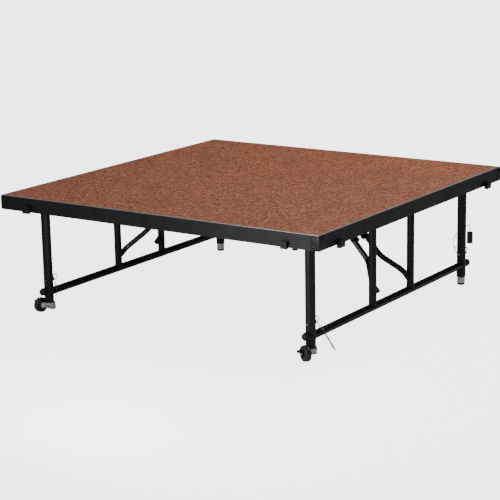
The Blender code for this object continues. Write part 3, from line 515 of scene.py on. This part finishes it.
# Side rails: rolled steel sections, powder coated black, that carry the deck's edge.
# A bent plate covers each corner joint and is plug welded to both rails.
def paint_group():
    """Black powder coat: a fine orange peel, faint grey dust and thin rubbed marks."""
    group, give, take = finish_group(
        "powder coat",
        [("Place", "n"), ("Paint", "c"), ("Dust", "c"), ("Roughness", "v")],
        [("Colour", "c"), ("Roughness", "v"), ("Height", "v")],
    )
    link = group.links.new
    peel = node_at(group, "ShaderNodeTexNoise", Scale=420.0, Detail=2.0, Roughness=0.5)
    dust = node_at(group, "ShaderNodeTexNoise", Scale=22.0, Detail=6.0, Roughness=0.7)
    rub = node_at(group, "ShaderNodeTexNoise", Scale=9.0, Detail=5.0, Roughness=0.65, Distortion=1.4)
    for noise in (peel, dust, rub):
        link(give.outputs["Place"], noise.inputs["Vector"])
    mask = group.nodes.new("ShaderNodeMath")
    mask.operation = "MULTIPLY"
    link(value_range(group, dust.outputs["Fac"], 0.0, 1.0, 0.48, 0.8), mask.inputs[0])
    link(value_range(group, rub.outputs["Fac"], 0.0, 1.0, 0.42, 0.72), mask.inputs[1])
    mix = group.nodes.new("ShaderNodeMix")
    mix.data_type = "RGBA"
    link(mask.outputs[0], mix.inputs["Factor"])
    link(give.outputs["Paint"], mix.inputs[6])
    link(give.outputs["Dust"], mix.inputs[7])
    link(mix.outputs[2], take.inputs["Colour"])
    rough = group.nodes.new("ShaderNodeMath")
    rough.operation = "ADD"
    link(give.outputs["Roughness"], rough.inputs[0])
    link(value_range(group, rub.outputs["Fac"], -0.05, 0.10), rough.inputs[1])
    link(rough.outputs[0], take.inputs["Roughness"])
    link(peel.outputs["Fac"], take.inputs["Height"])
    return group


powder_coat = paint_group()
rail_paint = new_finish(
    "rail paint", powder_coat, 0.12, 0.0003, gloss=0.35,
    Paint=(0.0075, 0.0073, 0.0082), Dust=(0.040, 0.038, 0.040), Roughness=0.46,
)  # fmt: skip
for side in ("front", "rear", "left", "right"):
    coat("rail_" + side, rail_paint)

rail_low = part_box("rail_front")[0]
rail_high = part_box("rail_rear")[1]
deck_low = Vector((rail_low.x, rail_low.y, rail_low.z))
deck_high = Vector((rail_high.x, rail_high.y, rail_high.z))
for corner, (sx, sy) in {
    "front_left": (-1, -1), "front_right": (1, -1), "rear_left": (-1, 1), "rear_right": (1, 1),
}.items():  # fmt: skip
    cx = deck_high.x if sx > 0 else deck_low.x
    cy = deck_high.y if sy > 0 else deck_low.y
    reach, thick = 0.029, 0.0011
    bm = bmesh.new()
    zs = (deck_low.z + 0.0015, deck_high.z - 0.0025)
    # along the front or rear
    xs = sorted((cx + sx * thick, cx - sx * reach))
    ys = sorted((cy + sy * 0.0002, cy + sy * thick))
    rounded_box(bm, (xs[0], ys[0], zs[0]), (xs[1], ys[1], zs[1]), edge=0.0003)
    xs = sorted((cx + sx * 0.0002, cx + sx * thick))
    ys = sorted((cy + sy * thick, cy - sy * reach))
    rounded_box(bm, (xs[0], ys[0], zs[0]), (xs[1], ys[1], zs[1]), edge=0.0003)
    for z in (zs[0] + 0.011, zs[1] - 0.011):
        for place, way in (
            ((cx - sx * 0.019, cy + sy * thick, z), (0, sy, 0)),
            ((cx + sx * thick, cy - sy * 0.019, z), (sx, 0, 0)),
        ):
            turn_on_lathe(
                bm,
                [(0, -0.0004), (0.0034, -0.0004), (0.0031, 0.0005), (0.0018, 0.0009), (0, 0.0010)],
                facing(place, way),
                16,
            )
    hand_over(bm, "corner_plate_" + corner, rail_paint, "deck")


# Straps and hinge brackets: black steel plates screwed up into the plywood.
# The straps stiffen the deck and carry the braces; the brackets hold the hinge tubes.
frame_paint = new_finish(
    "frame paint", powder_coat, 0.10, 0.0003, gloss=0.40,
    Paint=(0.0035, 0.0033, 0.0036), Dust=(0.022, 0.020, 0.020), Roughness=0.34,
)  # fmt: skip
screw_zinc = new_finish(
    "screw zinc", plated, 0.3, 0.0003, metallic=1.0,
    Tone=(0.66, 0.66, 0.64), Shade=(0.42, 0.42, 0.41), Roughness=0.34,
)  # fmt: skip


def pan_head(bm, place, way, radius=0.0042, height=0.0024):
    """A pan-headed screw with a cross recess, standing on a face."""
    matrix = facing(place, way)
    made = turn_on_lathe(
        bm,
        [(0, 0), (radius, 0), (radius, height * 0.45), (radius * 0.8, height * 0.85),
         (radius * 0.42, height), (radius * 0.38, height * 0.6), (0, height * 0.55)],
        matrix, 18,
    )  # fmt: skip
    return made


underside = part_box("deck_core")[0].z
for side in ("left", "right"):
    strap_low, strap_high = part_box("brace_strap_" + side)
    coat("brace_strap_" + side, frame_paint)
    middle = (strap_low.x + strap_high.x) / 2
    face = underside - 0.0048
    bm = bmesh.new()
    for y in (-0.56, -0.40, -0.24, -0.08, 0.08, 0.24, 0.40, 0.56):
        pan_head(bm, (middle + (0.009 if abs(y) > 0.5 else 0), y + 0.006, face), (0, 0, -1))
    hand_over(bm, "strap_screws_" + side, screw_zinc, "deck")
    for row in ("front", "rear"):
        name = f"hinge_bracket_{side}_{row}"
        coat(name, frame_paint)
        low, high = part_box(name)
        sign = -1 if row == "front" else 1
        outer = (low.y if sign < 0 else high.y) - sign * 0.011
        bm = bmesh.new()
        for x in (low.x + 0.009, high.x - 0.009):
            pan_head(bm, (x, outer, high.z - 0.003), (0, 0, -1), 0.0046, 0.0026)
        hand_over(bm, "bracket_screws_" + side + "_" + row, screw_zinc, "deck")


# Coupling blocks and hooks: the blocks are moulded plastic bolted to the front rail, and
# the steel sockets on the right rail take the tongue of a clip to the next stage.
black_plastic = new_finish(
    "black plastic", moulded, 0.2, 0.0003, gloss=0.4,
    Body=(0.007, 0.007, 0.008), Bloom=(0.020, 0.020, 0.021), Roughness=0.45, Grain=700.0,
)  # fmt: skip
for side in ("left", "right"):
    name = "coupling_block_" + side
    coat(name, black_plastic)
    low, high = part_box(name)
    bm = bmesh.new()
    centre = (low + high) / 2
    turn_on_lathe(
        bm,
        [(0, -0.0004), (0.0052, -0.0004), (0.0050, 0.0012), (0.0038, 0.0022), (0.0026, 0.0024),
         (0.0024, 0.0010), (0, 0.0009)],
        facing((centre.x, low.y, centre.z), (0, -1, 0)), 24,
    )  # fmt: skip
    hand_over(bm, "block_bolt_" + side, frame_paint, "deck")
    # a stub of the bolt that locks the block, just outside it and under the rail
    sign = side_sign[side]
    bm = bmesh.new()
    turn_on_lathe(
        bm,
        [(0, 0), (0.0085, 0), (0.0090, 0.0012), (0.0090, 0.0060), (0.0078, 0.0078), (0, 0.0085)],
        facing((centre.x + sign * 0.0255, low.y + 0.0245, deck_low.z), (0, 0, -1)), 28,
    )  # fmt: skip
    hand_over(bm, "rail_bumper_" + side, black_plastic, "deck")

for row in ("front", "rear"):
    name = "coupling_hook_" + row
    coat(name, frame_paint)
    low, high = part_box(name)
    middle = (low.y + high.y) / 2
    bm = bmesh.new()
    for y in (middle - 0.010, middle + 0.010):
        turn_on_lathe(
            bm,
            [(0, -0.0003), (0.0036, -0.0003), (0.0034, 0.0011), (0.0020, 0.0019), (0, 0.0021)],
            facing((high.x, y, high.z - 0.0055), (1, 0, 0)), 20,
        )  # fmt: skip
    hand_over(bm, "hook_rivets_" + row, frame_paint, "deck")


# Leg frames: steel tubes, butted and welded, then painted black as one piece.
# A bead of weld runs round each joint; the legs stand on the ends of the cross tube.
for side in ("left", "right"):
    for name in ("hinge_tube_", "cross_tube_"):
        coat(name + side, frame_paint)
    for row in ("front", "rear"):
        coat(f"outer_leg_{side}_{row}", frame_paint)
        coat(f"upright_{side}_{row}", frame_paint)


def weld_bead(bm, seat, away, across, tube, seat_radius, thick=0.0019):
    """A rippled bead where a tube stands on another: seat is a point on the other's axis."""
    away, across = Vector(away), Vector(across)
    third = away.cross(across)
    matrix = Matrix((across, third, away)).transposed().to_4x4()
    matrix.translation = Vector(seat)
    made = turn_on_lathe(bm, ring_profile(tube, thick, 8), Matrix.Identity(4), 60)
    for vert in made:
        out = Vector((vert.co.x, vert.co.y, 0))
        x = out.normalized().x * tube
        y = out.normalized().y
        swell = 1 + 0.16 * sin(30 * (pi + Vector((out.x, out.y)).angle_signed(Vector((1, 0)))))
        middle = out.normalized() * tube
        vert.co.x = middle.x + (vert.co.x - middle.x) * swell
        vert.co.y = middle.y + (vert.co.y - middle.y) * swell
        vert.co.z = vert.co.z * swell + sqrt(max(seat_radius**2 - x**2, 0.0))
    bmesh.ops.transform(bm, matrix=matrix, verts=made)


leg_radius, tube_radius = 0.015875, 0.0127
for side in ("left", "right"):
    hinge_low, hinge_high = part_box("hinge_tube_" + side)
    cross_low, cross_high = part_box("cross_tube_" + side)
    hinge = (hinge_low + hinge_high) / 2
    cross = (cross_low + cross_high) / 2
    bm = bmesh.new()
    for row in ("front", "rear"):
        low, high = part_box(f"upright_{side}_{row}")
        y = (low.y + high.y) / 2
        weld_bead(bm, (hinge.x, y, cross.z), (0, 0, 1), (1, 0, 0), tube_radius, tube_radius)
        weld_bead(bm, (hinge.x, y, hinge.z), (0, 0, -1), (1, 0, 0), tube_radius, tube_radius)
        x, y = leg_axis(side, row)
        weld_bead(bm, (x, y, hinge.z), (0, 0, -1), (1, 0, 0), leg_radius - 0.0006, tube_radius)
        inward = 1 if row == "front" else -1
        weld_bead(bm, (x, y, cross.z), (0, inward, 0), (1, 0, 0), tube_radius, leg_radius)
        weld_bead(bm, (x, y, cross.z), (0, -inward, 0), (1, 0, 0), tube_radius, leg_radius, 0.0012)
    hand_over(bm, "weld_beads_" + side, frame_paint, "leg_frame_" + side, 60)
    # black plastic plugs in the hinge tube's open ends
    bm = bmesh.new()
    for y, way in ((hinge_low.y, -1), (hinge_high.y, 1)):
        turn_on_lathe(
            bm,
            [(0, -0.009), (0.0106, -0.009), (0.0109, -0.0002), (0.0124, 0.0), (0.0122, 0.0012),
             (0.0100, 0.0020), (0, 0.0022)],
            facing((hinge.x, y, hinge.z), (0, way, 0)), 32,
        )  # fmt: skip
    hand_over(bm, "hinge_tube_plugs_" + side, black_plastic, "leg_frame_" + side)


# Inner legs: bright zinc-plated tubes that slide in the outer ones to raise the stage.
# Only their lowest few centimetres show, under the rear legs.
leg_zinc = new_finish(
    "leg zinc", plated, 0.3, 0.0003, metallic=0.35,
    Tone=(0.86, 0.86, 0.85), Shade=(0.60, 0.60, 0.59), Roughness=0.36,
)  # fmt: skip
for side in ("left", "right"):
    for row in ("front", "rear"):
        coat(f"inner_leg_{side}_{row}", leg_zinc)


# Tube ends: domed black rubber bumpers pushed on where the cross tube's line meets the
# outside of each leg, so that stacked or joined stages don't knock steel on steel.
bumper_rubber = new_finish(
    "bumper rubber", moulded, 0.25, 0.0004, gloss=0.35,
    Body=(0.005, 0.005, 0.005), Bloom=(0.018, 0.017, 0.017), Roughness=0.5, Grain=420.0,
)  # fmt: skip
for side in ("left", "right"):
    for row in ("front", "rear"):
        name = f"tube_end_{side}_{row}"
        low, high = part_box(name)
        x, y = leg_axis(side, row)
        sign = -1 if row == "front" else 1
        tip = (low.y if sign < 0 else high.y) - y
        reach = abs(tip)
        neck = leg_radius * 0.93
        ball = tube_radius
        bm = bmesh.new()
        profile = [(0, neck), (ball * 0.86, neck)]
        profile += [(ball * 0.86, leg_radius + 0.004), (ball, leg_radius + 0.0055)]
        straight = reach - ball
        profile += [(ball, leg_radius + 0.009), (ball * 0.985, leg_radius + 0.0100)]
        profile += [(ball, leg_radius + 0.0110)]
        for i in range(10):
            turn = i * pi / 2 / 9
            profile.append((max(ball * cos(turn), 0.0), straight + ball * sin(turn)))
        profile[-1] = (0, reach)
        turn_on_lathe(bm, profile, facing((x, y, (low.z + high.z) / 2), (0, sign, 0)), 40)
        piece = hand_over(bm, f"leg_bumper_{side}_{row}", bumper_rubber, "leg_frame_" + side, 50)
        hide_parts(name)


# Braces: two bent steel arms and a pair of short links, riveted at the elbow and the foot.
# The arms carry a flat stop plate; the rivets are domed and painted with the rest.
def dome(bm, place, way, radius, height):
    """A domed rivet head on a face."""
    profile = [(0, -0.0004), (radius, -0.0004)]
    for i in range(1, 6):
        turn = i * pi / 2 / 5
        profile.append((radius * cos(turn) if i < 5 else 0, height * sin(turn)))
    turn_on_lathe(bm, profile, facing(place, way), 20)


named_joints = {joint["name"]: joint for joint in frame["joints"]}
for side in ("left", "right"):
    coat("brace_links_" + side, frame_paint)
    coat("brace_arms_" + side, frame_paint)
    elbow = Vector(named_joints[f"brace_arms_{side}_elbow"]["pos_m"])
    anchor = Vector(named_joints[f"brace_links_{side}_swing"]["pos_m"])
    middle = (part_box("brace_arms_" + side)[0].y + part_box("brace_arms_" + side)[1].y) / 2
    bm = bmesh.new()
    for sign in (-1, 1):
        dome(bm, (elbow.x, middle + sign * 0.0520, elbow.z), (0, sign, 0), 0.0052, 0.0028)
        dome(bm, (elbow.x, middle + sign * 0.0120, elbow.z), (0, -sign, 0), 0.0044, 0.0016)
    hand_over(bm, "elbow_rivets_" + side, frame_paint, "brace_arms_" + side)
    bm = bmesh.new()
    for sign in (-1, 1):
        dome(bm, (anchor.x, middle + sign * 0.0319, anchor.z), (0, sign, 0), 0.0050, 0.0026)
    hand_over(bm, "anchor_rivets_" + side, frame_paint, "deck")


# Glides: black moulded caps under the rear legs, with a rounded foot and a grip ring.
for side in ("left", "right"):
    low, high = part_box("glide_" + side)
    x, y = (low.x + high.x) / 2, (low.y + high.y) / 2
    edge = (high.x - low.x) / 2
    bm = bmesh.new()
    turn_on_lathe(
        bm,
        [(0, 0), (edge - 0.0030, 0), (edge - 0.0012, 0.0006), (edge - 0.0002, 0.0020),
         (edge, 0.0032), (edge - 0.0006, 0.0036), (edge, 0.0040), (edge, 0.0066),
         (edge - 0.0004, 0.0076), (edge - 0.0012, 0.0080), (0.0122, 0.0080), (0.0120, 0.027), (0, 0.028)],
        Matrix.Translation((x, y, 0)), 48,
    )  # fmt: skip
    piece = hand_over(bm, "glide_cap_" + side, bumper_rubber, "leg_frame_" + side, 40)
    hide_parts("glide_" + side)


# Casters: a dark rubber tread on a plastic hub, beside a pressed zinc plate that swivels on
# a stem in the front leg.  A black lever on the axle's end presses on the tread to lock it.
caster_zinc = new_finish(
    "caster zinc", plated, 0.35, 0.0003, metallic=0.55,
    Tone=(0.74, 0.80, 0.78), Shade=(0.40, 0.45, 0.44), Roughness=0.30,
)  # fmt: skip
tread_rubber = new_finish(
    "tread rubber", moulded, 0.3, 0.0004,
    Body=(0.018, 0.016, 0.015), Bloom=(0.060, 0.050, 0.045), Roughness=0.42, Grain=520.0,
)  # fmt: skip
for side in ("left", "right"):
    coat("caster_fork_" + side, caster_zinc)
    spin = named_joints[f"caster_{side}_wheel_spin"]
    axle = Vector(spin["axis"]).normalized()
    centre = Vector(spin["pos_m"])
    wheel_low, wheel_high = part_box("caster_wheel_" + side)
    rim = (wheel_high.z - wheel_low.z) / 2
    half = 0.0095
    bm = bmesh.new()
    turn_on_lathe(
        bm,
        [(0.0043, -half + 0.0008), (0.0086, -half + 0.0008), (0.0094, -half + 0.0022),
         (rim - 0.0090, -half + 0.0022), (rim - 0.0080, -half + 0.0004), (rim - 0.0036, -half),
         (rim - 0.0012, -half + 0.0012), (rim - 0.0003, -half + 0.0036), (rim, -0.0016),
         (rim, 0.0016), (rim - 0.0003, half - 0.0036), (rim - 0.0012, half - 0.0012),
         (rim - 0.0036, half), (rim - 0.0080, half - 0.0004), (rim - 0.0090, half - 0.0022),
         (0.0094, half - 0.0022), (0.0086, half - 0.0008), (0.0043, half - 0.0008)],
        facing(centre, axle), 64,
    )  # fmt: skip
    piece = hand_over(bm, "tread_wheel_" + side, tread_rubber, "caster_wheel_" + side, 50)
    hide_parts("caster_wheel_" + side)
    # washer and thread end on the nut's side of the plate
    plate_face = centre + axle * 0.0166
    bm = bmesh.new()
    turn_on_lathe(
        bm, [(0, -0.0003), (0.0088, -0.0003), (0.0088, 0.0006), (0.0082, 0.0010), (0, 0.0010)],
        facing(plate_face, axle), 32,
    )  # fmt: skip
    turn_on_lathe(
        bm,
        [(0, 0.0), (0.0052, 0.0), (0.0046, 0.0008), (0.0034, 0.0008), (0.0034, 0.0026),
         (0.0026, 0.0032), (0, 0.0034)],
        facing(plate_face + axle * 0.0040, axle), 20,
    )  # fmt: skip
    hand_over(bm, "axle_nut_" + side, caster_zinc, "caster_fork_" + side, 40)

    # brake lever
    press = named_joints[f"caster_{side}_brake_press"]
    hub = Vector(press["pos_m"])
    up = Vector((0, 0, 1))
    trail = axle.cross(up)
    lever = Matrix((trail, up, -axle)).transposed().to_4x4()
    lever.translation = hub
    bm = bmesh.new()
    turn_on_lathe(
        bm,
        [(0.0043, 0.0002), (0.0086, 0.0002), (0.0090, 0.0008), (0.0090, 0.0042), (0.0084, 0.0048),
         (0.0060, 0.0048), (0.0056, 0.0040), (0.0043, 0.0040)],
        lever, 36,
    )  # fmt: skip
    rounded_box(bm, (-0.0060, 0.0053, 0.0004), (0.0060, 0.0127, 0.0178), lever, edge=0.0016, segments=3)
    for z in (0.0085, 0.0115, 0.0145):
        rounded_box(bm, (-0.0046, 0.0122, z - 0.0005), (0.0046, 0.0131, z + 0.0005), lever, edge=0.0002)
    piece = hand_over(bm, "brake_pedal_" + side, black_plastic, "caster_brake_" + side, 40)
    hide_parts("caster_brake_" + side)


# Lock pins: plated steel pins through both legs, with a turned head, a pull ring of spring
# wire and a small ball in the nose that keeps the pin from falling out.
pin_zinc = new_finish(
    "pin zinc", plated, 0.3, 0.0003, metallic=0.9,
    Tone=(0.40, 0.38, 0.36), Shade=(0.20, 0.19, 0.18), Roughness=0.34,
)  # fmt: skip
for side in ("left", "right"):
    for row in ("front", "rear"):
        name = f"lock_pin_{side}_{row}"
        low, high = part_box(name)
        x, y = leg_axis(side, row)
        z = (low.z + high.z) / 2 - 0.003
        body = name
        bm = bmesh.new()
        nose = low.y - y
        shoulder = leg_radius + 0.0003
        head_end = shoulder + 0.010
        turn_on_lathe(
            bm,
            [(0, nose), (0.0021, nose), (0.0033, nose + 0.0007), (0.0040, nose + 0.0022),
             (0.0040, nose + 0.0046), (0.0036, nose + 0.0050), (0.0036, nose + 0.0056),
             (0.0040, nose + 0.0060),
             (0.0040, shoulder), (0.0058, shoulder), (0.0065, shoulder + 0.0008),
             (0.0065, shoulder + 0.0030), (0.0060, shoulder + 0.0036), (0.0065, shoulder + 0.0042),
             (0.0065, head_end - 0.0012), (0.0054, head_end), (0, head_end)],
            facing((x, y, z), (0, 1, 0)), 32,
        )  # fmt: skip
        ring_place = (x, y + head_end + 0.007, z + 0.003)
        turn_on_lathe(bm, ring_profile(0.0115, 0.0016, 10), facing(ring_place, (1, 0, 0)), 48)
        piece = hand_over(bm, f"pull_pin_{side}_{row}", pin_zinc, body, 40)
        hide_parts(name)


# Room: a plain white floor and backdrop under a soft sky, with large soft lights.
# The backdrop is brighter to the eye than the light that it throws on the stage.
floor_mesh = bmesh.new()
bmesh.ops.create_grid(floor_mesh, x_segments=1, y_segments=1, size=14.0)
floor_data = bpy.data.meshes.new("floor")
floor_mesh.to_mesh(floor_data)
floor_mesh.free()
floor = bpy.data.objects.new("floor", floor_data)
floor.location.z = -0.0002
bpy.context.collection.objects.link(floor)
floor_white = bpy.data.materials.new("floor white")
floor_white.use_nodes = True
floor_tree = floor_white.node_tree
floor_shader = floor_tree.nodes["Principled BSDF"]
floor_shader.inputs["Base Color"].default_value = (0.62, 0.62, 0.62, 1)
floor_shader.inputs["Roughness"].default_value = 1.0
floor_shader.inputs["Specular IOR Level"].default_value = 0.0
floor_shader.inputs["Emission Color"].default_value = (1, 1, 1, 1)
seen = floor_tree.nodes.new("ShaderNodeLightPath")
glow = floor_tree.nodes.new("ShaderNodeMath")
glow.operation = "MULTIPLY"
glow.inputs[1].default_value = 3.6
floor_tree.links.new(seen.outputs["Is Camera Ray"], glow.inputs[0])
floor_tree.links.new(glow.outputs[0], floor_shader.inputs["Emission Strength"])
floor_data.materials.append(floor_white)

sky = bpy.data.worlds.new("sky")
sky.use_nodes = True
sky_tree = sky.node_tree
sky_light = sky_tree.nodes["Background"]
sky_light.inputs["Color"].default_value = (1, 1, 1, 1)
sky_place = sky_tree.nodes.new("ShaderNodeTexCoord")
sky_side = sky_tree.nodes.new("ShaderNodeVectorMath")
sky_side.operation = "DOT_PRODUCT"
sky_side.inputs[1].default_value = (-0.75, -0.65, 0.10)
sky_tree.links.new(sky_place.outputs["Generated"], sky_side.inputs[0])
sky_fall = sky_tree.nodes.new("ShaderNodeMapRange")
sky_fall.inputs["From Min"].default_value = -0.7
sky_fall.inputs["From Max"].default_value = 0.9
sky_fall.inputs["To Min"].default_value = 0.02
sky_fall.inputs["To Max"].default_value = 0.45
sky_tree.links.new(sky_side.outputs["Value"], sky_fall.inputs["Value"])
sky_seen = sky_tree.nodes.new("ShaderNodeLightPath")
sky_level = sky_tree.nodes.new("ShaderNodeMix")
sky_level.inputs[3].default_value = 4.0
sky_tree.links.new(sky_seen.outputs["Is Camera Ray"], sky_level.inputs["Factor"])
sky_tree.links.new(sky_fall.outputs["Result"], sky_level.inputs[2])
sky_tree.links.new(sky_level.outputs[0], sky_light.inputs["Strength"])
bpy.context.scene.world = sky


def soft_light(name, place, target, size, power):
    light = bpy.data.lights.new(name, "AREA")
    light.shape = "SQUARE"
    light.size = size
    light.energy = power
    lamp = bpy.data.objects.new(name, light)
    lamp.location = place
    lamp.rotation_euler = (Vector(place) - Vector(target)).to_track_quat("Z", "Y").to_euler()
    lamp.visible_camera = False
    bpy.context.collection.objects.link(lamp)
    return lamp


soft_light("overhead", (1.0, 0.9, 3.0), (0.3, 0, 0.4), 2.2, 62)
soft_light("front", (0.30, -1.55, 0.50), (0.45, -0.6, 0.36), 0.4, 9)

bpy.context.view_layer.update()
